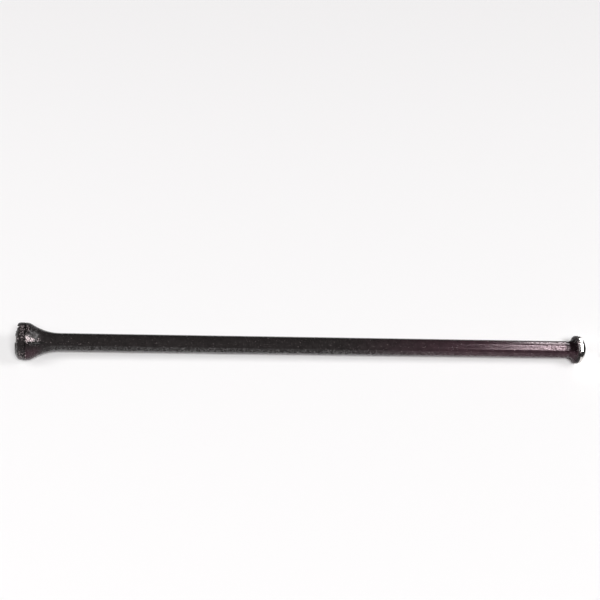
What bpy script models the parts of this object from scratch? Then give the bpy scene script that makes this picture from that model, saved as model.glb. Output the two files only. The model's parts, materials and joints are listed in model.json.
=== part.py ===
# Engine pushrod, one piece, upset forged from a round steel bar.
# The flared head holds the cup for the rocker screw's ball, and the small flange at the other end
# carries the ground dome that stands in the tappet.
# The rod lies on a flat surface on its two rims, with the cup towards -X and the foot towards +X.

import math

import bpy

# Whole rod
OVERALL_LENGTH = 0.2650          # lip of the cup to the crown of the foot
STEM_DIAMETER = 0.00794          # a 5/16 inch bar

# Ball cup in the head
BALL_DIAMETER = 0.00952          # the ball that works in the cup, 3/8 inch
SEAT_CLEARANCE = 0.00014         # seat radius less ball radius
BALL_CENTRE_DEPTH = 0.0020       # centre of the seat below the lip
MOUTH_DRAFT = 3.0                # degrees that the wall above the seat opens by
MOUTH_CHAMFER = 0.0003           # 45 degree edge between that wall and the lip
CUP_WALL = 0.00335               # from the seat's widest circle to the outside of the head

# Outside of the head
LIP_LAND = 0.0005                # width of the flat ring on the lip
LIP_BEVEL = 30.0                 # degrees that the lip falls away by, outside the flat ring
LIP_ROUND = 0.0015               # radius from that bevel into the side of the head
BAND_LENGTH = 0.0044             # lip to the middle of the die line
DIE_LINE_DEPTH = 0.00025         # groove that the forging die's split leaves round the head
DIE_LINE_WIDTH = 0.0004
COLLAR_STEP = 0.00025            # the collar behind the die line stands proud of the band
COLLAR_LENGTH = 0.0013           # straight side of the collar
COLLAR_DRAFT = 5.0               # degrees that this side draws in by, so that the die lets go of it
COLLAR_ROUND = 0.0020            # radius from the collar's side into the cone
CONE_ANGLE = 31.5                # degrees between the cone and the axis
CONE_FILLET = 0.0223             # long hollow radius from the cone into the stem

# Foot: a forged flange, and in front of it a ground land with a ground dome
DOME_RADIUS = 0.0085             # ball radius of the ground end
DOME_EDGE_ROUND = 0.0003         # radius from the dome into the land
LAND_LENGTH = 0.00085            # side of the ground land
LAND_STEP = 0.00015              # grinding leaves the land this much inside the forged flange
FLANGE_DIAMETER = 0.0132
FLANGE_SIDE = 0.0015             # straight side of the flange
FLANGE_BACK_ROUND = 0.0008       # radius from the side into the neck
NECK_ANGLE = 62.0                # degrees between the neck, where it meets that round, and the axis
NECK_FILLET = 0.0035             # hollow radius from the stem into the neck

# Fineness of the solid
SIDES = 36                       # flat sides round the rod
ARC_ERROR = 0.00001              # how far an arc's chords may cut inside it
ARC_STEP = 10.0                  # widest turn between two points of an arc, in degrees
SHARP_EDGE = 30.0                # edges that turn more than this are shaded sharp
LEAN_ROUNDS = 3                  # times that the touching circles are looked for again


def clear_scene():
    for thing in list(bpy.data.objects):
        bpy.data.objects.remove(thing, do_unlink=True)


def arc(centre, radius, start, end):
    """Points of an arc in the (radius, height) plane, with angles in degrees from straight out."""
    finest = 2.0 * math.degrees(math.acos(1.0 - ARC_ERROR / radius))
    steps = math.ceil(abs(end - start) / min(finest, ARC_STEP))
    points = []
    for step in range(steps + 1):
        angle = math.radians(start + (end - start) * step / steps)
        points.append((centre[0] + radius * math.cos(angle), centre[1] + radius * math.sin(angle)))
    return points


def seat_radius():
    return BALL_DIAMETER / 2 + SEAT_CLEARANCE


def cup_outline(lip_height):
    """The seat from its lowest point, its wall, its chamfer and the flat ring on the lip."""
    seat = seat_radius()
    draft = math.radians(MOUTH_DRAFT)
    centre_height = lip_height - BALL_CENTRE_DEPTH
    outline = arc((0.0, centre_height), seat, -90.0, -MOUTH_DRAFT)
    wall_bottom = outline[-1]
    wall_top_height = lip_height - MOUTH_CHAMFER
    wall_top_radius = wall_bottom[0] + (wall_top_height - wall_bottom[1]) * math.tan(draft)
    land_inside = wall_top_radius + MOUTH_CHAMFER
    outline.append((wall_top_radius, wall_top_height))
    outline.append((land_inside, lip_height))
    outline.append((land_inside + LIP_LAND, lip_height))
    return outline


def flare(wide_radius, angle, fillet):
    """Fillet and length of a straight cone with a hollow fillet that leads from it into the stem."""
    # The fillet may use all the width between the stem and the cone's wide end, and no more
    width = wide_radius - STEM_DIAMETER / 2
    fillet = min(fillet, width / (1.0 - math.cos(angle)))
    cone_length = (width - fillet * (1.0 - math.cos(angle))) / math.tan(angle)
    return fillet, cone_length + fillet * math.sin(angle)


def head_outline(lip_height, land_outside):
    """Down the outside of the head: lip, band, die line, collar, cone and its long fillet."""
    band_radius = seat_radius() + CUP_WALL
    collar_radius = band_radius + COLLAR_STEP
    stem_radius = STEM_DIAMETER / 2

    bevel = math.radians(LIP_BEVEL)
    lip_round = min(LIP_ROUND, band_radius - land_outside)
    round_radius = band_radius - lip_round
    round_depth = (round_radius - land_outside) * math.tan(bevel) + lip_round / math.cos(bevel)
    outline = arc((round_radius, lip_height - round_depth), lip_round, 90.0 - LIP_BEVEL, 0.0)

    line_height = lip_height - BAND_LENGTH
    outline.append((band_radius, line_height + DIE_LINE_WIDTH / 2))
    outline.append((band_radius - DIE_LINE_DEPTH, line_height))
    outline.append((collar_radius, line_height - DIE_LINE_WIDTH / 2))

    cone = math.radians(CONE_ANGLE)
    draft = math.radians(COLLAR_DRAFT)
    side_bottom = line_height - DIE_LINE_WIDTH / 2 - COLLAR_LENGTH
    side_bottom_radius = collar_radius - COLLAR_LENGTH * math.tan(draft)
    round_centre = (side_bottom_radius - COLLAR_ROUND * math.cos(draft),
                    side_bottom + COLLAR_ROUND * math.sin(draft))
    outline += arc(round_centre, COLLAR_ROUND, -COLLAR_DRAFT, -CONE_ANGLE)
    cone_top = outline[-1]

    fillet, flare_length = flare(cone_top[0], cone, CONE_FILLET)
    fillet_bottom = cone_top[1] - flare_length
    outline += arc((stem_radius + fillet, fillet_bottom), fillet, 180.0 - CONE_ANGLE, 180.0)
    return outline


def foot_outline():
    """Down the foot: hollow neck, flange, ground land and dome, with the crown at height 0."""
    stem_radius = STEM_DIAMETER / 2
    rim_radius = FLANGE_DIAMETER / 2
    land_radius = rim_radius - LAND_STEP

    # The round between the land and the dome touches both
    edge_radius = land_radius - DOME_EDGE_ROUND
    edge_height = DOME_RADIUS - math.sqrt((DOME_RADIUS - DOME_EDGE_ROUND) ** 2 - edge_radius ** 2)
    dome_start = math.degrees(math.atan2(edge_height - DOME_RADIUS, edge_radius))

    flange_bottom = edge_height + LAND_LENGTH + LAND_STEP
    back_round_height = flange_bottom + FLANGE_SIDE
    back_round = arc((rim_radius - FLANGE_BACK_ROUND, back_round_height), FLANGE_BACK_ROUND, NECK_ANGLE, 0.0)

    fillet, flare_length = flare(back_round[0][0], math.radians(NECK_ANGLE), NECK_FILLET)
    neck_top = back_round[0][1] + flare_length
    outline = arc((stem_radius + fillet, neck_top), fillet, 180.0, 180.0 + NECK_ANGLE)
    outline += back_round
    outline += arc((land_radius, flange_bottom), LAND_STEP, 0.0, -90.0)
    outline += arc((edge_radius, edge_height), DOME_EDGE_ROUND, 0.0, dome_start)
    outline += arc((0.0, DOME_RADIUS), DOME_RADIUS, dome_start, -90.0)[1:]
    return outline


def rod_outline():
    """The whole half section, from the bottom of the seat over the lip and down to the crown."""
    cup = cup_outline(OVERALL_LENGTH)
    head = head_outline(OVERALL_LENGTH, cup[-1][0])
    outline = cup + head + foot_outline()
    outline[0] = (0.0, outline[0][1])
    outline[-1] = (0.0, 0.0)
    return outline


def lathe(name, outline):
    """Turn a half section round the Z axis and keep the result as a plain mesh object."""
    section = bpy.data.meshes.new(name + "_section")
    links = [(index, index + 1) for index in range(len(outline) - 1)]
    section.from_pydata([(radius, 0.0, height) for radius, height in outline], links, [])
    blank = bpy.data.objects.new(name + "_section", section)
    bpy.context.scene.collection.objects.link(blank)

    screw = blank.modifiers.new("turn", "SCREW")
    screw.axis = "Z"
    screw.steps = SIDES
    screw.render_steps = SIDES
    screw.use_merge_vertices = True
    screw.merge_threshold = 0.000001

    bpy.context.view_layer.update()
    turned = blank.evaluated_get(bpy.context.evaluated_depsgraph_get())
    mesh = bpy.data.meshes.new_from_object(turned)
    mesh.name = name
    bpy.data.objects.remove(blank, do_unlink=True)
    bpy.data.meshes.remove(section)
    return bpy.data.objects.new(name, mesh)


def shade(part):
    part.data.shade_smooth()
    part.data.set_sharp_from_angle(angle=math.radians(SHARP_EDGE))


def resting_lean(outline):
    """Angle between the axis and the surface, when the widest circles of both ends touch it."""
    middle = OVERALL_LENGTH / 2
    head = [point for point in outline if point[1] > middle]
    foot = [point for point in outline if point[1] <= middle]
    slope = 0.0
    for _ in range(LEAN_ROUNDS):
        touch_head = max(head, key=lambda point: point[0] - slope * point[1])
        touch_foot = max(foot, key=lambda point: point[0] - slope * point[1])
        slope = (touch_head[0] - touch_foot[0]) / (touch_head[1] - touch_foot[1])
    return math.atan(slope * math.cos(math.pi / SIDES))


def lay_down(part, lean):
    """Lay the turned rod on z = 0, a flat side down, its crown towards +X and its middle at x = 0."""
    part.rotation_mode = "ZYX"
    part.rotation_euler = (0.0, lean - math.pi / 2, math.pi / SIDES)
    turn = part.rotation_euler.to_matrix()
    corners = [turn @ vertex.co for vertex in part.data.vertices]
    left = min(corner.x for corner in corners)
    right = max(corner.x for corner in corners)
    part.location = (-(left + right) / 2, 0.0, -min(corner.z for corner in corners))


def black_forged_steel():
    material = bpy.data.materials.new("black_forged_steel")
    material.use_nodes = True
    shader = material.node_tree.nodes["Principled BSDF"]
    shader.inputs["Base Color"].default_value = (0.035, 0.029, 0.030, 1.0)
    shader.inputs["Metallic"].default_value = 0.8
    shader.inputs["Roughness"].default_value = 0.42
    return material


def build_pushrod():
    outline = rod_outline()
    rod = lathe("pushrod", outline)
    shade(rod)
    lay_down(rod, resting_lean(outline))
    rod.data.materials.append(black_forged_steel())
    parts = bpy.data.collections.new("engine_pushrod")
    bpy.context.scene.collection.children.link(parts)
    parts.objects.link(rod)
    return rod


clear_scene()
build_pushrod()
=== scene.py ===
# %% [markdown]
# # Engine pushrod: the looks
# A pushrod carries the push of a cam's tappet up to a rocker. This one is one piece of steel: a bar
# whose two ends were heated and upset, the left one to a flared head with a ball cup in it, the right
# one to a small flange with a ground dome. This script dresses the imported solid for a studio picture.
# The solid stays the frame: the axis, the outline and the radii are read from it, and flaws and
# finishes are placed by their distance behind the lip and their angle round the axis.

# %% Load the frame
import json
import math

import bmesh
import bpy
from mathutils import Matrix, Vector


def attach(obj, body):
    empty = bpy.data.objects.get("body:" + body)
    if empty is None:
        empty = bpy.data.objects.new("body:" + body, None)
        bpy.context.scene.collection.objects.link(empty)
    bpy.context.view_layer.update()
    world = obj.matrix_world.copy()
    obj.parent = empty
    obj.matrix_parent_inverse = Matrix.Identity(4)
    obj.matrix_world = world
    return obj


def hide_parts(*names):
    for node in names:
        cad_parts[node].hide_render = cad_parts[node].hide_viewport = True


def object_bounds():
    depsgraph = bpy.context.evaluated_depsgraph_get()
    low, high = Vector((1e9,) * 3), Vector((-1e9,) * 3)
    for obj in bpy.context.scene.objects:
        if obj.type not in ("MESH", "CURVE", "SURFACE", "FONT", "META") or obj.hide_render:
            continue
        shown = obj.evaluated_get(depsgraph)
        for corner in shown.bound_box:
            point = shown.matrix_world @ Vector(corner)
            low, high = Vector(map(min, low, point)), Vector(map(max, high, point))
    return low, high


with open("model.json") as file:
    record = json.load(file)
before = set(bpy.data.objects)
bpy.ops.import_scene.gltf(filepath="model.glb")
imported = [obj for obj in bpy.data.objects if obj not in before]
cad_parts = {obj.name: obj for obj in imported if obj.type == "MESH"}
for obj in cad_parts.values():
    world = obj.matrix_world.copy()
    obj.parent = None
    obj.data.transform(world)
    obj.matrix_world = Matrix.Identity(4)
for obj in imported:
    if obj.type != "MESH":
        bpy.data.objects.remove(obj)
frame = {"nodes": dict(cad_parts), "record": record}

cad_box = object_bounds()
solid = frame["nodes"]["pushrod"]
print("solid:", len(solid.data.polygons), "triangles, box", [tuple(corner) for corner in cad_box])

# %% [markdown]
# ## Helpers for working as by hand
# An operator works on what is selected, and the frame leaves its own nodes selected. So each step
# first leaves everything and then takes hold of one object, and edit mode is entered with one call.

# %% Select one object and enter edit mode
MM = 0.001                       # metres in a millimetre


def hold(thing):
    if bpy.context.object and bpy.context.object.mode != "OBJECT":
        bpy.ops.object.mode_set(mode="OBJECT")
    bpy.ops.object.select_all(action="DESELECT")
    thing.select_set(True)
    bpy.context.view_layer.objects.active = thing
    return thing


def open_mesh(thing, kind="VERT"):
    hold(thing)
    bpy.ops.object.mode_set(mode="EDIT")
    bpy.ops.mesh.select_mode(type=kind)
    return bmesh.from_edit_mesh(thing.data)


def close_mesh(thing):
    bmesh.update_edit_mesh(thing.data)
    bpy.ops.object.mode_set(mode="OBJECT")


print("helpers ready, one millimetre is", MM, "metres")

# %% [markdown]
# ## The axis of the rod
# The rod lies on its two rims, and the head's rim is the larger one, so its axis leans a little down
# towards the foot. The mount on the cup's flat lip gives that direction, and the corners of the solid
# that lie in the lip's plane give its centre. Everything on the rod is then placed by its distance
# behind the lip, its angle round the axis and its distance from the axis.

# %% Read the axis from the lip
LIP_PLANE = 0.01 * MM            # corners nearer than this to the lip's plane are on the lip

lip_mount = frame["record"]["mounts"][0]
along = -Vector(lip_mount["axis"]).normalized()
across = Vector((0.0, 1.0, 0.0))
upward = along.cross(across)
mount_point = Vector(lip_mount["pos_m"])
lip_corners = [v.co for v in solid.data.vertices if abs((v.co - mount_point).dot(along)) < LIP_PLANE]
lowest = [min(corner[i] for corner in lip_corners) for i in range(3)]
highest = [max(corner[i] for corner in lip_corners) for i in range(3)]
lip_centre = Vector([(low + high) / 2 for low, high in zip(lowest, highest)])


def behind_lip(point):
    return (point - lip_centre).dot(along)


def from_axis(point):
    return (point - lip_centre - along * behind_lip(point)).length


def round_axis(point):
    """Degrees round the axis from its top, more than 0 on the back and less on the camera's side."""
    out = point - lip_centre
    return math.degrees(math.atan2(out.dot(across), out.dot(upward)))


rod_length = max(behind_lip(vertex.co) for vertex in solid.data.vertices)
print("lip centre", tuple(lip_centre), "axis", tuple(along), "length", rod_length)

# %% [markdown]
# ## Camera
# The photo is taken from above and in front, with the camera near the head and turned a little to the
# right, so the head looks larger than the foot and the foot's dome is seen from behind. The camera's
# place is given from the rod: so far along it from the lip, so far away and so high. Its turns follow.

# %% Make the camera
CAMERA_ALONG = 29.15 * MM        # point of the axis that the camera stands across from
CAMERA_DISTANCE = 670.9 * MM
CAMERA_HEIGHT_ANGLE = 50.0       # degrees above the table
CAMERA_YAW = 8.412               # degrees to the right
CAMERA_PITCH = 1.767             # degrees up
CAMERA_ROLL = 0.872              # degrees
CAMERA_LENS = 88.48              # millimetres, on a sensor 36 mm wide

height = math.radians(CAMERA_HEIGHT_ANGLE)
to_camera = (-across * math.cos(height) + upward * math.sin(height)).normalized()
picture_up = to_camera.cross(along)
stand = lip_centre + along * CAMERA_ALONG + to_camera * CAMERA_DISTANCE
facing = Matrix((along, picture_up, to_camera)).transposed().to_4x4()
turns = (Matrix.Rotation(math.radians(-CAMERA_YAW), 4, "Y")
         @ Matrix.Rotation(math.radians(CAMERA_PITCH), 4, "X")
         @ Matrix.Rotation(math.radians(CAMERA_ROLL), 4, "Z"))

bpy.ops.object.camera_add()
camera = bpy.context.object
camera.name = "camera"
camera.matrix_world = Matrix.Translation(stand) @ facing @ turns
camera.data.lens = CAMERA_LENS
bpy.context.scene.camera = camera
print("camera at", tuple(stand))

# %% [markdown]
# ## The half section
# A turned shape is one outline spun round an axis. The outline could be typed in, but the solid already
# has it, so a copy of the solid is cut along its axis, which keeps only the cut's edges, and the lower
# half of those is cut off too. What stays is one chain of edges from the bottom of the cup, over the
# lip, to the crown of the foot.

# %% Cut the outline out of a copy of the solid
MERGE = 0.001 * MM               # points nearer than this are one
ON_PLANE = 0.000001 * MM         # points nearer than this to a cutting plane are on it

rod = bpy.data.objects.new("pushrod_forging", solid.data.copy())
bpy.context.scene.collection.objects.link(rod)
rod.data.materials.clear()
open_mesh(rod)
bpy.ops.mesh.select_all(action="SELECT")
bpy.ops.mesh.remove_doubles(threshold=MERGE)
bpy.ops.mesh.select_all(action="SELECT")
bpy.ops.mesh.bisect(plane_co=lip_centre, plane_no=across, clear_inner=True, clear_outer=True,
                    threshold=ON_PLANE)
bpy.ops.mesh.select_all(action="SELECT")
bpy.ops.mesh.bisect(plane_co=lip_centre, plane_no=upward, clear_inner=True, threshold=ON_PLANE)
close_mesh(rod)
print("half section:", len(rod.data.vertices), "points,", len(rod.data.polygons), "faces")

# %% [markdown]
# ## Rings along the rod
# The solid has long facets, which is all that a smooth bar needs. Forging scale, a ragged lip and small
# dents move the surface itself, so the outline first gets more points: fine ones in the head and the
# foot, where the hammer worked, and wider ones along the stem. Halving the long edges keeps the form.

# %% Halve the long edges of the outline
HEAD_END = 24.0 * MM             # the head's hollow fillet has run into the stem here
FOOT_LENGTH = 12.0 * MM          # the flange and the neck, with a little of the stem
FINE_EDGE = 0.34 * MM
STEM_EDGE = 2.0 * MM

foot_start = rod_length - FOOT_LENGTH


def halve_long_edges(thing, longest, start, end):
    open_mesh(thing, "EDGE")
    cuts = 0
    while True:
        mesh = bmesh.from_edit_mesh(thing.data)
        bpy.ops.mesh.select_all(action="DESELECT")
        long_edges = [edge for edge in mesh.edges if edge.calc_length() > longest
                      and start <= behind_lip((edge.verts[0].co + edge.verts[1].co) / 2) <= end]
        if not long_edges:
            break
        for edge in long_edges:
            edge.select_set(True)
        bpy.ops.mesh.subdivide(number_cuts=1)
        cuts += len(long_edges)
    close_mesh(thing)
    return cuts


print("stem cuts:", halve_long_edges(rod, STEM_EDGE, HEAD_END, foot_start))
print("head cuts:", halve_long_edges(rod, FINE_EDGE, -HEAD_END, HEAD_END))
print("foot cuts:", halve_long_edges(rod, FINE_EDGE, foot_start, rod_length))

# %% [markdown]
# ## Spin
# The chain is spun once round the axis. The last copy lands on the first one, and both ends of the
# chain lie on the axis, so doubles are merged there, and then the faces are turned to look outwards.
# Edges that turn by more than the limit, such as the lip's and the die line's, are kept sharp. Each of
# the spin's steps rounds its numbers a little, and after all of them the last copy and the crown are off
# by three thousandths of a millimetre. So doubles are looked for a bit wider than that, and the crown is
# pushed back to the solid's own length.

# %% Spin the outline round the axis
SIDES = 216
SHARP_EDGE = 30.0                # degrees
SPIN_MERGE = 0.005 * MM

open_mesh(rod)
bpy.ops.mesh.select_all(action="SELECT")
bpy.ops.mesh.spin(steps=SIDES, angle=2 * math.pi, center=lip_centre, axis=along)
bpy.ops.mesh.select_all(action="SELECT")
bpy.ops.mesh.remove_doubles(threshold=SPIN_MERGE)
bpy.ops.mesh.normals_make_consistent(inside=False)
bpy.ops.mesh.select_all(action="DESELECT")
mesh = bmesh.from_edit_mesh(rod.data)
for vertex in mesh.verts:
    vertex.select_set(vertex.co.x > cad_box[1][0])
bpy.ops.transform.resize(value=(0, 1, 1), constraint_axis=(True, False, False),
                         center_override=cad_box[1])
close_mesh(rod)
bpy.ops.object.shade_smooth_by_angle(angle=math.radians(SHARP_EDGE))
print("spun:", len(rod.data.vertices), "points,", len(rod.data.polygons), "faces")

# %% [markdown]
# ## Painted zones
# Flaws and finishes follow places on the rod, so each place is painted once, as a weight from 0 to 1 on
# every point. A modifier reads it as a vertex group and a material reads it as an attribute. A rule
# gives the weight from three numbers: millimetres behind the lip, degrees round the axis, and
# millimetres from the axis. Zones have soft edges, because blows, heat and wear have no sharp border.

# %% Paint a weight from a rule
def fade(value, none, full):
    """0 at and before the value none, 1 at and after the value full, and smooth between them."""
    share = min(1.0, max(0.0, (value - none) / (full - none)))
    return share * share * (3 - 2 * share)


def within(value, zone):
    """1 between the two middle numbers of the zone, and 0 outside its first and last."""
    begin, whole_from, whole_to, end = zone
    return fade(value, begin, whole_from) * fade(value, end, whole_to)


def paint(thing, name, rule):
    weights = [rule(behind_lip(vertex.co) / MM, round_axis(vertex.co), from_axis(vertex.co) / MM)
               for vertex in thing.data.vertices]
    group = thing.vertex_groups.new(name=name)
    for index, weight in enumerate(weights):
        if weight > 0:
            group.add([index], weight, "REPLACE")
    layer = thing.data.attributes.new(name + "_paint", "FLOAT", "POINT")
    layer.data.foreach_set("value", weights)
    print("painted", name, "on", sum(weight > 0 for weight in weights), "points")


# %% [markdown]
# ## The skin is moved, not only drawn
# Dents, swellings and scale change the outline, so they are made in the surface. A Displace modifier
# moves the points of one painted zone, evenly or by a cloud texture. Its middle level is the grey that
# stays where it is. At 0.5 the skin goes both ways and keeps the rod's size, at 0 it only goes the way
# of the depth, and at 1 it only goes the other way.

# %% Move a painted zone
BOTH_WAYS = 0.5
ONE_WAY = 0.0
BACKWARDS = 1.0


def displace(thing, name, depth, group, size=None, level=BOTH_WAYS, direction="NORMAL"):
    move = thing.modifiers.new(name, "DISPLACE")
    if size:
        move.texture = bpy.data.textures.new(name, "CLOUDS")
        move.texture.noise_scale = size
        move.texture_coords = "LOCAL"
    move.direction = direction
    move.mid_level = level
    move.strength = depth
    move.vertex_group = group
    hold(thing)
    bpy.ops.object.modifier_apply(modifier=name)
    print("displaced:", name)


# %% [markdown]
# ## Measures for the zones
# Zones end at edges of the rod itself, such as the head's widest circle, the flange's front edge and the
# lip's inner edge. Those radii and that place are measured on the rod, in millimetres.

# %% Measure the head, the flange and the lip
ON_WIDEST = 0.01                 # points this near to the widest circle are on it

head_points = [v.co for v in rod.data.vertices if behind_lip(v.co) < rod_length / 2]
foot_points = [v.co for v in rod.data.vertices if behind_lip(v.co) > rod_length / 2]
head_radius = max(from_axis(point) for point in head_points) / MM
flange_radius = max(from_axis(point) for point in foot_points) / MM
flange_end = max(behind_lip(p) for p in foot_points if from_axis(p) / MM > flange_radius - ON_WIDEST) / MM
lip_inside = min(from_axis(corner) for corner in lip_corners) / MM
print("radius of head", head_radius, "flange", flange_radius, "to", flange_end, "lip inside", lip_inside)

# %% [markdown]
# ## The battered lip
# The lip is whole on its lower half. On the upper half, which faces the camera, blows have swollen the
# band outwards and broken the edge back by up to two millimetres. The break could be cut with a boolean,
# but a bite is simpler: it takes the points that stand in front of a depth and flattens them to that
# depth, which is how a broken edge looks, a flat torn face with steps in it. One of the deep bites
# spares the outside of the band, and that stands as a small beak.

# %% Swell the band and break the lip back
CUP_MOUTH = 5.0                  # the inside of the cup is nearer to the axis than this
CUP_WALL_INSIDE = 4.0            # every point of the lip is farther from the axis than this
WHOLE_BAND = 9.0                 # wider than the head
BEAK_INSIDE = 7.0                # the beak stands outside this radius
SWELLING = 0.3 * MM
SWOLLEN_ANGLES = (20, 45, 65, 90)
SWOLLEN_LENGTH = (0.4, 1.6, 4.1, 4.5)
BITES = [                        # degrees from and to, depth and widest radius
    (-46, -34, 0.70, WHOLE_BAND),
    (-34, -22, 0.78, WHOLE_BAND),
    (-22, -14, 0.46, WHOLE_BAND),
    (-14, -6, 0.10, WHOLE_BAND),
    (-2, 7, 0.22, WHOLE_BAND),
    (7, 14, 0.72, WHOLE_BAND),
    (14, 36, 1.80, WHOLE_BAND),
    (36, 64, 1.60, BEAK_INSIDE),
    (64, 84, 1.90, WHOLE_BAND),
    (84, 98, 1.20, WHOLE_BAND),
]


def swollen_rule(behind, angle, radius):
    return within(angle, SWOLLEN_ANGLES) * within(behind, SWOLLEN_LENGTH) if radius > CUP_MOUTH else 0.0


def bite(thing, start, end, depth, widest):
    mesh = open_mesh(thing)
    bpy.ops.mesh.select_all(action="DESELECT")
    for vertex in mesh.verts:
        if behind_lip(vertex.co) < depth * MM and start <= round_axis(vertex.co) <= end:
            vertex.select_set(CUP_WALL_INSIDE < from_axis(vertex.co) / MM < widest)
    bpy.ops.transform.resize(value=(0, 1, 1), constraint_axis=(True, False, False),
                             center_override=lip_centre + along * depth * MM)
    close_mesh(thing)


paint(rod, "swollen", swollen_rule)
displace(rod, "swollen_band", SWELLING, "swollen", level=ONE_WAY)
for bite_start, bite_end, bite_depth, bite_widest in BITES:
    bite(rod, bite_start, bite_end, bite_depth, bite_widest)
print("bites:", len(BITES))

# %% [markdown]
# ## Where blows and hot work changed the form
# A blow has left a flat on the head, which slopes from the die line down the cone. The neck under the
# flange is drawn in a little, and the flange's back edge slopes off, but less on the camera's side.
# The broken part of the lip is torn. For a flat or a slope the weight is how many millimetres the skin
# stands outside it, and the zone is then moved in by one millimetre times that weight.

# %% Paint the struck flat, the neck, the flange's back and the torn lip
FLAT_START = 4.6                 # behind the lip
FLAT_RADIUS = 8.55               # of the flat's middle, where it starts
FLAT_SLOPE = 0.50                # lost radius for each millimetre along the rod
FLAT_ANGLES = (-50, -38, -20, -6)
FLAT_LENGTH = (4.4, 4.6, 9.3, 13.5)
NECK_LENGTH = (255.2, 256.8, 258.2, 259.0)
SLOPE_START = 258.6              # behind the lip, where the flange's slope has the radius below
SLOPE_RADIUS = 5.3
SLOPE_FROM = 257.5
SLOPE_TO = 260.5
ACROSS_SLOPE = 0.7               # distance across a slope of 45 degrees, for each millimetre of radius
WHOLE_FLANGE_ANGLES = (-80, -62, -2, 12)
WHOLE_FLANGE_SHARE = 0.8         # of the slope that isn't there at those angles
TORN_ANGLES = (-47, -45, 92, 100)
TORN_NONE = 2.6                  # behind the lip
TORN_FULL = 1.2


def struck_rule(behind, angle, radius):
    outside_flat = radius - (FLAT_RADIUS - FLAT_SLOPE * (behind - FLAT_START))
    return max(0.0, outside_flat) * within(angle, FLAT_ANGLES) * within(behind, FLAT_LENGTH)


def neck_rule(behind, angle, radius):
    return within(behind, NECK_LENGTH)


def flange_back_rule(behind, angle, radius):
    outside_slope = radius - (SLOPE_RADIUS + behind - SLOPE_START)
    sloped = 1 - WHOLE_FLANGE_SHARE * within(angle, WHOLE_FLANGE_ANGLES)
    return max(0.0, outside_slope) * ACROSS_SLOPE * sloped if SLOPE_FROM < behind < SLOPE_TO else 0.0


def torn_rule(behind, angle, radius):
    return within(angle, TORN_ANGLES) * fade(behind, TORN_NONE, TORN_FULL) if radius > CUP_MOUTH else 0.0


paint(rod, "struck", struck_rule)
paint(rod, "neck", neck_rule)
paint(rod, "flange_back", flange_back_rule)
paint(rod, "torn", torn_rule)

# %% [markdown]
# ## Where the skin is forged and where it is drawn
# The head and the foot were forged, so their skin is uneven. The stem is drawn bar and is only a little
# wavy. Near the two widest circles, which the rod lies on, the skin may only go inwards, so that it
# stays in the solid's box. They are a zone of their own.

# %% Paint the forged skin, the rims and the drawn bar
FORGED_TO = 9.0                  # behind the lip: forged up to here
DRAWN_FROM = 19.0                # and drawn bar from here
FOOT_FADE = 6.0                  # length in which the bar's skin becomes the foot's
RIM_NONE = 0.20                  # distances inside the widest circle
RIM_FULL = 0.12
FACED_RING = 0.6                 # width of the flat ring on the lip, which is smooth
CUP_END = 7.0                    # the cup is less deep than this
LIP_SMOOTH = 0.3                 # behind the lip: smooth up to here
LIP_ROUGH = 2.6                  # and as rough as the rest from here

foot_from = foot_start / MM
drawn_length = (FORGED_TO, DRAWN_FROM, foot_from, foot_from + FOOT_FADE)


def at_rim(behind, radius):
    widest = head_radius if behind < foot_from else flange_radius
    return fade(radius, widest - RIM_NONE, widest - RIM_FULL)


def forged(behind):
    head = fade(behind, DRAWN_FROM, FORGED_TO)
    foot = fade(behind, foot_from, foot_from + FOOT_FADE) if behind < flange_end else 0.0
    return max(head, foot)


def forged_rule(behind, angle, radius):
    outside = radius > lip_inside + FACED_RING or behind > CUP_END
    roughened = fade(behind, LIP_SMOOTH, LIP_ROUGH)
    return forged(behind) * (1 - at_rim(behind, radius)) * roughened if outside else 0.0


def rim_rule(behind, angle, radius):
    return forged(behind) * at_rim(behind, radius)


def drawn_rule(behind, angle, radius):
    return within(behind, drawn_length)


paint(rod, "forged", forged_rule)
paint(rod, "rim", rim_rule)
paint(rod, "drawn", drawn_rule)

# %% [markdown]
# ## Move the skin
# First the flat, the neck and the flange's slope, which are even, then what a cloud texture makes
# uneven: broad hollows from the hammer, small ones where scale was pressed in, long low waves in the
# bar, and the torn edge, which is only moved along the rod. All the zones are painted by now, so no
# move changes where the next one works.

# %% Move all the painted zones
BY_WEIGHT = -1.0 * MM            # inwards, as many millimetres as the weight says
NECK_DEPTH = -0.45 * MM          # inwards
HAMMER_DEPTH = 0.16 * MM
HAMMER_HOLLOW = 3.0 * MM         # size of one hollow
SCALE_DEPTH = 0.10 * MM
SCALE_HOLLOW = 1.0 * MM
RIM_DEPTH = 0.10 * MM
RIM_HOLLOW = 2.0 * MM
WAVE_DEPTH = 0.03 * MM
WAVE_LENGTH = 6.0 * MM
TEAR_DEPTH = 0.40 * MM           # along the rod, away from the lip
TEAR_SIZE = 0.7 * MM

displace(rod, "struck_flat", BY_WEIGHT, "struck", level=ONE_WAY)
displace(rod, "hot_neck", NECK_DEPTH, "neck", level=ONE_WAY)
displace(rod, "sloped_flange_back", BY_WEIGHT, "flange_back", level=ONE_WAY)
displace(rod, "hammer_hollows", HAMMER_DEPTH, "forged", size=HAMMER_HOLLOW)
displace(rod, "scale_hollows", SCALE_DEPTH, "forged", size=SCALE_HOLLOW)
displace(rod, "rim_hollows", RIM_DEPTH, "rim", size=RIM_HOLLOW, level=BACKWARDS)
displace(rod, "bar_waves", WAVE_DEPTH, "drawn", size=WAVE_LENGTH)
displace(rod, "torn_edge", TEAR_DEPTH, "torn", size=TEAR_SIZE, level=ONE_WAY, direction="X")

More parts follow.
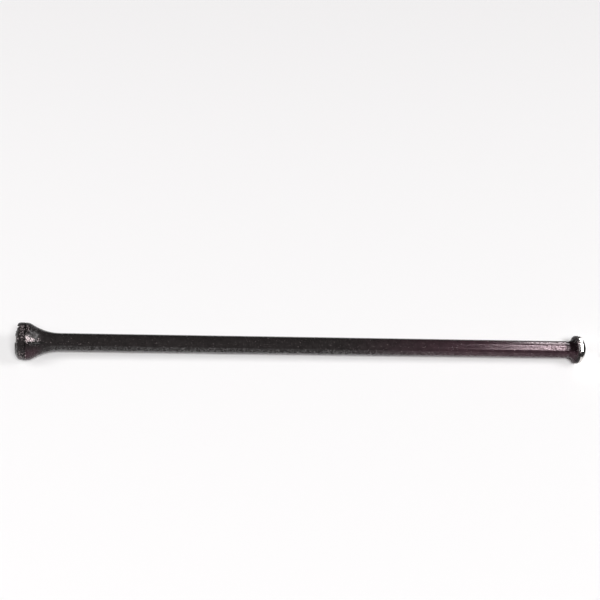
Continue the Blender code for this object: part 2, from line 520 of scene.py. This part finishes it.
# %% [markdown]
# ## Materials
# Colours are written as the hex values that a screen shows, and one function turns them to the linear
# values that the renderer works with. One small function adds a node with its settings and its links,
# and gives back the output that is wanted of it. A Map Range node has its value on input 0, the range
# that this comes from on 1 and 2, and the range that it goes to on 3 and 4. A Mix node of colours has
# its two colours on inputs 6 and 7 and its result on output 2.

# %% Helpers for materials
WHITE = "#FFFFFF"
MATH = "ShaderNodeMath"
MAP_RANGE = "ShaderNodeMapRange"
MIX = "ShaderNodeMix"
NOISE = "ShaderNodeTexNoise"
BUMP = "ShaderNodeBump"
COLOURS = "RGBA"                 # the kind of Mix node that mixes two colours
MIXED = 2                        # and the number of its output


def linear(hex_text):
    shown = [int(hex_text[start:start + 2], 16) / 255 for start in (1, 3, 5)]
    return tuple(c / 12.92 if c <= 0.04045 else ((c + 0.055) / 1.055) ** 2.4 for c in shown) + (1.0,)


def add_node(tree, kind, output, inputs=None, **settings):
    made = tree.nodes.new(kind)
    for name, value in settings.items():
        setattr(made, name, value)
    for name, value in (inputs or {}).items():
        if isinstance(value, bpy.types.NodeSocket):
            tree.links.new(value, made.inputs[name])
        else:
            made.inputs[name].default_value = value
    return made.outputs[output]


def new_material(name):
    material = bpy.data.materials.new(name)
    material.use_nodes = True
    return material, material.node_tree, material.node_tree.nodes["Principled BSDF"]


def connect(tree, shader, sources):
    for name, source in sources.items():
        tree.links.new(source, shader.inputs[name])


print("dark grey #808080 is", linear("#808080")[0], "in linear light")

# %% [markdown]
# ## Coordinates that follow the rod
# The patterns need millimetres along the rod and across it, and the rod leans a little. A Mapping node
# takes the object's coordinates to the lip's centre and turns them to the axis. For drawing lines it
# also divides the length by a stretch, so that round grains of noise become long streaks.

# %% Give a material the rod's own coordinates
lean = math.atan2(-along.z, along.x)


def rod_coordinates(tree, stretch=1.0):
    place = add_node(tree, "ShaderNodeTexCoord", "Object")
    lie = {"Vector": place, "Location": lip_centre, "Rotation": (0.0, lean, 0.0),
           "Scale": (MM * stretch, MM, MM)}
    return add_node(tree, "ShaderNodeMapping", "Vector", lie, vector_type="TEXTURE")


print("lean of the axis in degrees:", math.degrees(lean))

# %% [markdown]
# ## Wear and painted highlight, purple brown and painted shade
# On the camera's side of the head, and in a few places of the stem and the flange, the black skin is
# rubbed through to bare steel. The same light grey is painted where the collar, the band and some edges
# catch the softboxes, so these places are partly wear and partly a painted highlight. Towards the foot,
# and on the head's underside, the oxide is a lighter purple brown. The die line, the corner of the neck
# and a strip beside the struck flat are darkened, as painted shade in these creases and along the flat's
# edge. Each of these is painted like the zones above, now that the skin has its last form.

# %% Paint the wear and highlights, the purple brown and the painted shade
MARK_NONE = 1.25                  # of a spot's half size, where its wear and painted highlight end
MARK_FULL = 0.55                  # and within which it is whole
WEAR_AND_HIGHLIGHT_SPOTS = [                       # mm behind the lip, degrees, half length, half width, share of wear and painted highlight
    (5.5, -31, 1.4, 16, 0.80), (7.5, -35, 1.5, 9, 0.66), (10.2, -33, 0.8, 9, 0.52),
    (1.3, -31, 0.7, 7, 0.85), (3.1, -31, 0.4, 9, 0.80), (3.3, 14, 1.2, 10, 0.74),
    (5.6, 0, 1.2, 20, 0.56), (9.2, -8, 2.6, 24, 0.06), (3.0, -8, 1.6, 20, 0.56),
    (2.8, -100, 2.0, 40, 0.40), (4.7, -88, 0.25, 24, 0.90), (16.5, -33, 3.0, 12, 0.58),
    (19.5, 14, 2.5, 14, 0.56), (25.5, -25, 2.4, 14, 0.58), (41.0, -64, 3.0, 16, 0.58),
    (68.0, -27, 3.5, 12, 0.58), (260.6, -35, 0.8, 26, 0.50), (260.3, -9, 0.9, 10, 0.86),
]
HEAD_TINT_LENGTH = (4.4, 4.8, 8.0, 13.0)
FOOT_TINT_LENGTH = (140.0, 215.0, 259.0, 260.0)
UNDERSIDE = (-48, -88)           # degrees: not tinted before the first, and wholly past the second
DIE_LINE = 4.45                  # behind the lip
LINE_NONE = 0.42                 # distances from the die line
LINE_FULL = 0.15
LINE_ANGLES = (-62, -54)
SHADED_NECK_LENGTH = (253.5, 255.5, 259.0, 259.6)
NECK_ANGLES = (-62, -40)
SHADED_STRIP_ANGLES = (-56, -50, -42, -38)
SHADED_STRIP_LENGTH = (4.6, 6.0, 11.0, 14.0)
SHADED_STRIP_SHARE = 0.8


# Wear, and a painted highlight where the head's collar, band and edges catch the softboxes
def wear_and_highlight_rule(behind, angle, radius):
    if radius < lip_inside:
        return 0.0
    shares = []
    for middle, turn, length, width, share in WEAR_AND_HIGHLIGHT_SPOTS:
        away = math.hypot((behind - middle) / length, (angle - turn) / width)
        shares.append(share * fade(away, MARK_NONE, MARK_FULL))
    return max(shares)


def tint_rule(behind, angle, radius):
    under_head = within(behind, HEAD_TINT_LENGTH) * fade(angle, *UNDERSIDE)
    return max(within(behind, FOOT_TINT_LENGTH), under_head)


# Painted shade: darkens the die line, the neck's corner and a strip beside the struck flat
def crease_shade_rule(behind, angle, radius):
    line = fade(abs(behind - DIE_LINE), LINE_NONE, LINE_FULL) * fade(angle, *LINE_ANGLES)
    neck = within(behind, SHADED_NECK_LENGTH) * fade(angle, *NECK_ANGLES)
    shaded_strip = within(angle, SHADED_STRIP_ANGLES) * within(behind, SHADED_STRIP_LENGTH)
    return max(line if radius > lip_inside else 0.0, neck, SHADED_STRIP_SHARE * shaded_strip)


# Painted shade in the creases and beside the struck flat
paint(rod, "crease_shade", crease_shade_rule)
# Light grey spots of wear and of painted highlight
paint(rod, "wear_and_highlight", wear_and_highlight_rule)
paint(rod, "tint", tint_rule)

# %% [markdown]
# ## Blackened forging: patterns
# The whole rod but for its ground foot and its cup is medium carbon steel with a black oxide skin from
# the forge, dipped in oil. The oxide is nearly black and reflects little, so only the softboxes show in
# it, as a pale strip. It is patchy by about a millimetre, where the oil lies thicker or thinner, and
# that breaks the strip into blobs. Fine drawing lines run along the bar. All of this is noise of four
# sizes, and the forged zones say where the skin is rougher.

# %% Make the patterns of the black skin
PIT = 0.36                       # millimetres across, as the next three
OIL_SPOT = 0.70
BLOTCH = 2.4
DRAWING_LINE = 0.30              # real ones are finer and would not show
LINE_STRETCH = 14.0              # length of a drawing line, as a multiple of its width
PIT_DETAIL = 2.0                 # how many times finer noise is added
SPOT_DETAIL = 1.0
BLOTCH_DETAIL = 3.0
LINE_DETAIL = 2.0

black, tree, shader = new_material("oil_blackened_forged_steel")
place = rod_coordinates(tree)
streaked = rod_coordinates(tree, LINE_STRETCH)
pits = add_node(tree, NOISE, "Fac", {"Vector": place, "Scale": 1 / PIT, "Detail": PIT_DETAIL})
spots = add_node(tree, NOISE, "Fac", {"Vector": place, "Scale": 1 / OIL_SPOT, "Detail": SPOT_DETAIL})
blotches = add_node(tree, NOISE, "Fac", {"Vector": place, "Scale": 1 / BLOTCH, "Detail": BLOTCH_DETAIL})
lines = add_node(tree, NOISE, "Fac", {"Vector": streaked, "Scale": 1 / DRAWING_LINE,
                                      "Detail": LINE_DETAIL})
painted = {zone: add_node(tree, "ShaderNodeAttribute", "Fac", attribute_name=zone + "_paint")
           for zone in ("forged", "rim", "crease_shade", "wear_and_highlight", "tint")}
rough_skin = add_node(tree, MATH, "Value", {0: painted["forged"], 1: painted["rim"]}, operation="MAXIMUM")
print("patterns in millimetres:", PIT, OIL_SPOT, BLOTCH, DRAWING_LINE)

# %% [markdown]
# ## Blackened forging: colour of the oxide
# Black oxide is a very dark warm grey, and towards the foot and on the head's underside it is a dark
# purple brown. Blotches and pits make it lighter and darker by a tenth or so, and in the creases, where
# shade is painted, a quarter of its light is left.

# %% Colour the oxide
OXIDE = "#252222"
TINTED_OXIDE = "#36272C"
NOISE_LOW = 0.35                 # nearly all of a noise lies between these two
NOISE_HIGH = 0.65
BLOTCH_SHADE = (0.85, 1.15)
PIT_SHADE = (0.90, 1.10)
# Share of the colour's light that is left where shade is painted
CREASE_SHADE_LEFT = 0.25

oxide = add_node(tree, MIX, MIXED, {"Factor": painted["tint"], 6: linear(OXIDE), 7: linear(TINTED_OXIDE)},
                 data_type=COLOURS)
blotch_shade = add_node(tree, MAP_RANGE, "Result", {0: blotches, 1: NOISE_LOW, 2: NOISE_HIGH,
                                                    3: BLOTCH_SHADE[0], 4: BLOTCH_SHADE[1]})
pit_shade = add_node(tree, MAP_RANGE, "Result", {0: pits, 1: NOISE_LOW, 2: NOISE_HIGH,
                                                 3: PIT_SHADE[0], 4: PIT_SHADE[1]})
# Painted shade in the creases: the colour is darkened there
painted_crease_shade = add_node(tree, MAP_RANGE, "Result", {0: painted["crease_shade"], 3: 1.0, 4: CREASE_SHADE_LEFT})
shade = add_node(tree, MATH, "Value", {0: blotch_shade, 1: pit_shade}, operation="MULTIPLY")
shade = add_node(tree, MATH, "Value", {0: shade, 1: painted_crease_shade}, operation="MULTIPLY")
skin = add_node(tree, "ShaderNodeVectorMath", "Vector", {0: oxide, 3: shade}, operation="SCALE")
print("oxide:", OXIDE, "tinted:", TINTED_OXIDE)

# %% [markdown]
# ## Blackened forging: bare steel and painted highlight
# The skin rubs through on its high places first. So the noises of spots and pits are added up as a
# height, the painted wear and highlight raise it, and where the sum passes a limit the steel is bare. The
# low oil spots stay black inside a rubbed place. Bare steel is rough here and still has a film of oxide
# in its grain, so it is a matt warm grey and only partly metal. Where the collar, the band and some edges
# catch the softboxes, the same light grey is a painted highlight.

# %% Rub the skin through and paint the highlights
SPOT_HEIGHT = 0.5
PIT_HEIGHT = 1.3
HEIGHT_OFFSET = -0.4
WEAR_AND_HIGHLIGHT_HEIGHT = 0.42
BARE_NONE = 0.77                 # height at which the light grey starts to show
BARE_FULL = 0.87                 # and at which it is whole
HOLE_FULL = 0.43                 # spots lower than this stay black
HOLE_NONE = 0.54
HOLE_SHARE = 0.12                # of the light grey that is left in such a hole
# Light grey of bare steel, which also serves as the painted highlight
BARE_STEEL_AND_HIGHLIGHT = "#A89B9C"
BARE_METAL = 0.4

wear_and_highlight_height = add_node(tree, MATH, "Value", {0: spots, 1: SPOT_HEIGHT, 2: HEIGHT_OFFSET}, operation="MULTIPLY_ADD")
wear_and_highlight_height = add_node(tree, MATH, "Value", {0: pits, 1: PIT_HEIGHT, 2: wear_and_highlight_height}, operation="MULTIPLY_ADD")
wear_and_highlight_height = add_node(tree, MATH, "Value", {0: painted["wear_and_highlight"], 1: WEAR_AND_HIGHLIGHT_HEIGHT, 2: wear_and_highlight_height},
                operation="MULTIPLY_ADD")
through_and_highlight = add_node(tree, MAP_RANGE, "Result", {0: wear_and_highlight_height, 1: BARE_NONE, 2: BARE_FULL})
holes = add_node(tree, MAP_RANGE, "Result", {0: spots, 1: HOLE_FULL, 2: HOLE_NONE, 3: HOLE_SHARE, 4: 1.0})
bare_and_highlight = add_node(tree, MATH, "Value", {0: through_and_highlight, 1: holes}, operation="MULTIPLY")
# Light grey where the skin is worn and where a highlight is painted
colour = add_node(tree, MIX, MIXED, {"Factor": bare_and_highlight, 6: skin, 7: linear(BARE_STEEL_AND_HIGHLIGHT)}, data_type=COLOURS)
metal = add_node(tree, MATH, "Value", {0: bare_and_highlight, 1: BARE_METAL}, operation="MULTIPLY")
print("bare steel:", BARE_STEEL_AND_HIGHLIGHT, "on", len(WEAR_AND_HIGHLIGHT_SPOTS), "rubbed places")

# %% [markdown]
# ## Blackened forging: oil and gloss
# The film of oil makes the drawn bar shine like dark glass, in spots. The forged ends hold less of it
# and are rougher, so there the softboxes give only a dull grey, and in the creases, as painted shade,
# the shine is duller still. On the tinted part the shine is a little pink.

# %% Spread the oil
SPOT_LOW = 0.38
SPOT_HIGH = 0.62
OIL_THIN = 0.04                  # specular level of dry oxide
OIL_THICK = 0.62                 # and of oxide under oil
OIL_ON_FORGING = 0.4
# Share of the shine that is left where shade is painted
OIL_IN_CREASE_SHADE = 0.3
LINE_LOW = 0.3                   # nearly all of the lines' noise lies between these two
LINE_HIGH = 0.7
SMOOTHEST_LINE = 0.08            # roughness of the drawn bar
ROUGHEST_LINE = 0.12
FORGED_ROUGHNESS = 0.18
BARE_ROUGHNESS = 0.20
TINTED_SHINE = "#FFE4EC"

oil = add_node(tree, MAP_RANGE, "Result", {0: spots, 1: SPOT_LOW, 2: SPOT_HIGH, 3: OIL_THIN, 4: OIL_THICK})
forged_oil = add_node(tree, MAP_RANGE, "Result", {0: rough_skin, 3: 1.0, 4: OIL_ON_FORGING})
# Less shine where shade is painted in the creases
crease_shade_oil = add_node(tree, MAP_RANGE, "Result", {0: painted["crease_shade"], 3: 1.0, 4: OIL_IN_CREASE_SHADE})
oil = add_node(tree, MATH, "Value", {0: oil, 1: forged_oil}, operation="MULTIPLY")
oil = add_node(tree, MATH, "Value", {0: oil, 1: crease_shade_oil}, operation="MULTIPLY")
roughness = add_node(tree, MAP_RANGE, "Result", {0: lines, 1: LINE_LOW, 2: LINE_HIGH,
                                                 3: SMOOTHEST_LINE, 4: ROUGHEST_LINE})
roughness = add_node(tree, MATH, "Value", {0: rough_skin, 1: FORGED_ROUGHNESS, 2: roughness},
                     operation="MULTIPLY_ADD")
roughness = add_node(tree, MATH, "Value", {0: bare_and_highlight, 1: BARE_ROUGHNESS, 2: roughness},
                     operation="MULTIPLY_ADD")
shine = add_node(tree, MIX, MIXED, {"Factor": painted["tint"], 6: linear(WHITE),
                                    7: linear(TINTED_SHINE)}, data_type=COLOURS)
print("oil from", OIL_THIN, "to", OIL_THICK)

# %% [markdown]
# ## Blackened forging: grain
# Pits, oil spots and drawing lines are too fine to model, so they only bend the light, one bump on top
# of the other. Pits are weak on the drawn bar and strong on the forged ends.

# %% Bump the skin and join it all
PIT_ON_BAR = 0.2
PIT_ON_FORGING = 1.0
SPOT_STRENGTH = 0.8
LINE_STRENGTH = 0.2
GRAIN_DEPTH = 0.05 * MM
LINE_DEPTH = 0.01 * MM

pit_strength = add_node(tree, MAP_RANGE, "Result", {0: rough_skin, 3: PIT_ON_BAR, 4: PIT_ON_FORGING})
grain = add_node(tree, BUMP, "Normal", {"Height": pits, "Strength": pit_strength, "Distance": GRAIN_DEPTH})
grain = add_node(tree, BUMP, "Normal", {"Height": spots, "Strength": SPOT_STRENGTH,
                                        "Distance": GRAIN_DEPTH, "Normal": grain})
grain = add_node(tree, BUMP, "Normal", {"Height": lines, "Strength": LINE_STRENGTH,
                                        "Distance": LINE_DEPTH, "Normal": grain})
connect(tree, shader, {"Base Color": colour, "Metallic": metal, "Roughness": roughness,
                       "Specular IOR Level": oil, "Specular Tint": shine, "Normal": grain})
print("material:", black.name)

# %% [markdown]
# ## Ground foot
# The dome turns in the tappet's cup, so it and its land are ground bright. Bare ground steel is a clean
# metal: it mirrors the white studio and the dark room, with fine rings round the axis from the wheel.
# The rings are noise that is read by distance along the rod and from its axis, which is the same all
# round.

# %% Ground bright steel
RING_DETAIL = 3.0
GRINDING_RING = 0.16             # millimetres; real ones are ten times finer and would not show
GRINDING_DEPTH = 0.002 * MM
GROUND_STEEL = "#D4D0CD"
GROUND_SMOOTH = 0.03             # roughness on a ring
GROUND_ROUGH = 0.06              # and between two


def ring_noise(tree, width):
    place = rod_coordinates(tree)
    x, y, z = [add_node(tree, "ShaderNodeSeparateXYZ", axis, {"Vector": place}) for axis in "XYZ"]
    out = add_node(tree, "ShaderNodeCombineXYZ", "Vector", {"Y": y, "Z": z})
    radius = add_node(tree, "ShaderNodeVectorMath", "Value", {0: out}, operation="LENGTH")
    rings = add_node(tree, "ShaderNodeCombineXYZ", "Vector", {"X": x, "Y": radius})
    return add_node(tree, NOISE, "Fac", {"Vector": rings, "Scale": 1 / width, "Detail": RING_DETAIL})


ground, tree, shader = new_material("ground_bright_steel")
rings = ring_noise(tree, GRINDING_RING)
ring_bump = add_node(tree, BUMP, "Normal", {"Height": rings, "Strength": 1.0, "Distance": GRINDING_DEPTH})
ring_roughness = add_node(tree, MAP_RANGE, "Result", {0: rings, 1: LINE_LOW, 2: LINE_HIGH,
                                                      3: GROUND_SMOOTH, 4: GROUND_ROUGH})
shader.inputs["Metallic"].default_value = 1.0
shader.inputs["Base Color"].default_value = linear(GROUND_STEEL)
connect(tree, shader, {"Roughness": ring_roughness, "Normal": ring_bump})
print("material:", ground.name)

# %% [markdown]
# ## Cup seat
# The cup is pressed hot and then finished with a form tool, so it is a duller grey than the foot, with
# wider rings, and the flat ring on the lip is faced in the same go.

# %% Finished cup steel
TOOL_RING = 0.35                 # millimetres
TOOL_DEPTH = 0.006 * MM
TOOLED_DARK = "#6E6A67"
TOOLED_LIGHT = "#8E8985"
TOOLED_ROUGHNESS = 0.34

seat, tree, shader = new_material("form_tooled_cup_steel")
rings = ring_noise(tree, TOOL_RING)
ring_bump = add_node(tree, BUMP, "Normal", {"Height": rings, "Strength": 1.0, "Distance": TOOL_DEPTH})
seat_colour = add_node(tree, MIX, MIXED, {"Factor": rings, 6: linear(TOOLED_DARK), 7: linear(TOOLED_LIGHT)},
                       data_type=COLOURS)
shader.inputs["Metallic"].default_value = 1.0
shader.inputs["Roughness"].default_value = TOOLED_ROUGHNESS
connect(tree, shader, {"Base Color": seat_colour, "Normal": ring_bump})
print("material:", seat.name)

# %% [markdown]
# ## Which face has which finish
# The three finishes meet at edges of the rod itself: the inner edge of the lip and the step between the
# flange and the ground land. So each face is told by where its middle is.

# %% Give each face its finish
CUP_DEPTH = 8.0                  # deeper than the cup, and short of the stem
BLACK, GROUND, SEAT = range(3)

for finish in (black, ground, seat):
    rod.data.materials.append(finish)
for face in rod.data.polygons:
    if behind_lip(face.center) / MM > flange_end:
        face.material_index = GROUND
    elif behind_lip(face.center) / MM < CUP_DEPTH and from_axis(face.center) / MM < lip_inside:
        face.material_index = SEAT
    else:
        face.material_index = BLACK
print("faces:", [sum(face.material_index == kind for face in rod.data.polygons) for kind in range(3)])

# %% [markdown]
# ## Table
# The rod lies on plain white. A large plane with matt white paint takes its soft shadow, and where the
# camera and reflections see it, it also glows a little, so that it stays white. The bright foot mirrors
# the white only as far as a little way past the rod's end, and then a dark room, so in reflections the
# sheet ends there.

# %% Make the white table
TABLE_SIZE = 4.0                 # metres
TABLE_DROP = 0.02 * MM           # keeps the table's face clear of the rod's
WHITE_PAINT = "#F7F7F7"
PINKISH_WHITE = "#FFE4EA"
GLOW_SHARE = 0.03
SHEET_END = 142.0 * MM           # to the right, in reflections
DARK_ROOM = 0.05

bpy.ops.object.select_all(action="DESELECT")
bpy.ops.mesh.primitive_plane_add(size=TABLE_SIZE, location=(0, 0, -TABLE_DROP))
table = bpy.context.object
table.name = "white_table"
bpy.ops.object.transform_apply()

table_paint, tree, shader = new_material("white_table_paint")
camera_ray, glossy_ray, glass_ray = [add_node(tree, "ShaderNodeLightPath", f"Is {kind} Ray")
                                     for kind in ("Camera", "Glossy", "Transmission")]
seen = add_node(tree, MATH, "Value", {0: camera_ray, 1: glossy_ray}, operation="MAXIMUM")
seen = add_node(tree, MATH, "Value", {0: seen, 1: glass_ray}, operation="MAXIMUM")
glow_share = add_node(tree, MATH, "Value", {0: seen, 1: GLOW_SHARE}, operation="MULTIPLY")
place = add_node(tree, "ShaderNodeTexCoord", "Object")
to_right = add_node(tree, "ShaderNodeSeparateXYZ", "X", {"Vector": place})
past_end = add_node(tree, MATH, "Value", {0: to_right, 1: SHEET_END}, operation="GREATER_THAN")
past_end = add_node(tree, MATH, "Value", {0: past_end, 1: glossy_ray}, operation="MULTIPLY")
matt = add_node(tree, "ShaderNodeBsdfDiffuse", "BSDF", {"Color": linear(WHITE_PAINT)})
glow = add_node(tree, "ShaderNodeEmission", "Emission", {"Color": linear(PINKISH_WHITE), "Strength": 1.0})
dark = add_node(tree, "ShaderNodeEmission", "Emission", {"Strength": DARK_ROOM})
sheet = add_node(tree, "ShaderNodeMixShader", "Shader", {"Fac": glow_share, 1: matt, 2: glow})
sheet = add_node(tree, "ShaderNodeMixShader", "Shader", {"Fac": past_end, 1: sheet, 2: dark})
connect(tree, tree.nodes["Material Output"], {"Surface": sheet})
tree.nodes.remove(shader)
table_paint.cycles.emission_sampling = "NONE"
table.data.materials.append(table_paint)
print("table:", table.name, "glow", GLOW_SHARE)

# %% [markdown]
# ## Room
# Behind the table the camera and glass see plain white, at a strength of 1. Matt things get only a
# little light from the room, so that the lamps make the shadows. Metal mirrors a dark room with one
# white wall, low on the right at the back, because a bright ball in an all-white room has no form.

# %% Make the room
ROOM_LIGHT = 0.03                # what lights matt surfaces
WALL_TOP = (0.02, 0.06)          # directions are parts of a length of 1: whole below, gone above
WALL_LEFT = (0.15, 0.25)         # none to the left of the first, whole to the right of the second

room = bpy.data.worlds.new("studio_room")
room.use_nodes = True
room.cycles.sampling_method = "NONE"
bpy.context.scene.world = room
bpy.context.scene.view_settings.view_transform = "Standard"
tree = room.node_tree
camera_ray, glossy_ray, glass_ray = [add_node(tree, "ShaderNodeLightPath", f"Is {kind} Ray")
                                     for kind in ("Camera", "Glossy", "Transmission")]
white = add_node(tree, MATH, "Value", {0: camera_ray, 1: glass_ray}, operation="MAXIMUM")
direction = add_node(tree, "ShaderNodeTexCoord", "Generated")
x, y, z = [add_node(tree, "ShaderNodeSeparateXYZ", axis, {"Vector": direction}) for axis in "XYZ"]
low = add_node(tree, MAP_RANGE, "Result", {0: z, 1: WALL_TOP[0], 2: WALL_TOP[1], 3: 1.0, 4: 0.0})
right = add_node(tree, MAP_RANGE, "Result", {0: x, 1: WALL_LEFT[0], 2: WALL_LEFT[1]})
at_back = add_node(tree, MATH, "Value", {0: y, 1: 0.0}, operation="GREATER_THAN")
wall = add_node(tree, MATH, "Value", {0: low, 1: right}, operation="MULTIPLY")
wall = add_node(tree, MATH, "Value", {0: wall, 1: at_back}, operation="MULTIPLY")
in_metal = add_node(tree, MAP_RANGE, "Result", {0: wall, 3: DARK_ROOM, 4: 1.0})
level = add_node(tree, MIX, "Result", {"Factor": glossy_ray, "A": ROOM_LIGHT, "B": in_metal})
level = add_node(tree, MIX, "Result", {"Factor": white, "A": level, "B": 1.0})
plain = add_node(tree, MATH, "Value", {0: white, 1: glossy_ray}, operation="MAXIMUM")
tint = add_node(tree, MIX, MIXED, {"Factor": plain, 6: linear(PINKISH_WHITE), 7: linear(WHITE)},
                data_type=COLOURS)
connect(tree, tree.nodes["Background"], {"Strength": level, "Color": tint})
print("room:", room.name, "light", ROOM_LIGHT)

# %% [markdown]
# ## Lamps
# A wide lamp far in front lights the table and the rod evenly. It stands a little higher than the
# camera, so the rod's shadow falls behind it and only a thin dark line shows under the stem. A small
# lamp at each end fills the rest, and the head and the flange keep its light out of the corners beside
# them. These three aren't mirrored. What the steel mirrors are two softboxes to the right, a high one
# and one at the back, with a gap between them. They light nothing matt. A straight bar keeps a ray's
# slope along itself, so where the bright strip starts on the stem, and how far round the bar it
# reaches, give the softboxes' edges.

# %% Hang the lamps
LAMPS = [                        # name, degrees above the table, distance, left, right, across in metres,
                                 # level, degrees turned to the right, and whether it is only mirrored
    ("front_lamp", 54.0, 8.0, -2.0, 2.0, 1.2, 35.5, 0.0, False),
    ("left_lamp", 45.0, 1.2, -0.25, 0.25, 0.5, 4.8, -75.0, False),
    ("right_lamp", 45.0, 1.2, -0.25, 0.25, 0.5, 4.8, 75.0, False),
    ("high_softbox", 72.0, 0.33, 0.200, 0.620, 0.44, 17.0, 0.0, True),
    ("back_softbox", 142.0, 0.33, 0.208, 0.620, 0.24, 14.0, 0.0, True),
]


def add_lamp(name, height_angle, distance, left, right, size_across, level, turn, mirrored):
    tilt = math.radians(90.0 - height_angle)
    centre = Vector(((left + right) / 2, -distance * math.sin(tilt), distance * math.cos(tilt)))
    centre.rotate(Matrix.Rotation(math.radians(turn), 3, "Z"))
    bpy.ops.object.light_add(type="AREA", location=centre, rotation=(tilt, 0, math.radians(turn)))
    lamp = bpy.context.object
    lamp.name = name
    lamp.data.shape = "RECTANGLE"
    lamp.data.size = right - left
    lamp.data.size_y = size_across
    lamp.data.energy = level * math.pi * (right - left) * size_across
    lamp.visible_camera = False
    lamp.visible_glossy = mirrored
    lamp.visible_diffuse = not mirrored
    return lamp


for lamp_row in LAMPS:
    print("lamp:", add_lamp(*lamp_row).name)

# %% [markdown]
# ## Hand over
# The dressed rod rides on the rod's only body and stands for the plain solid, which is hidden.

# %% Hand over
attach(rod, "root")
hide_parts("pushrod")
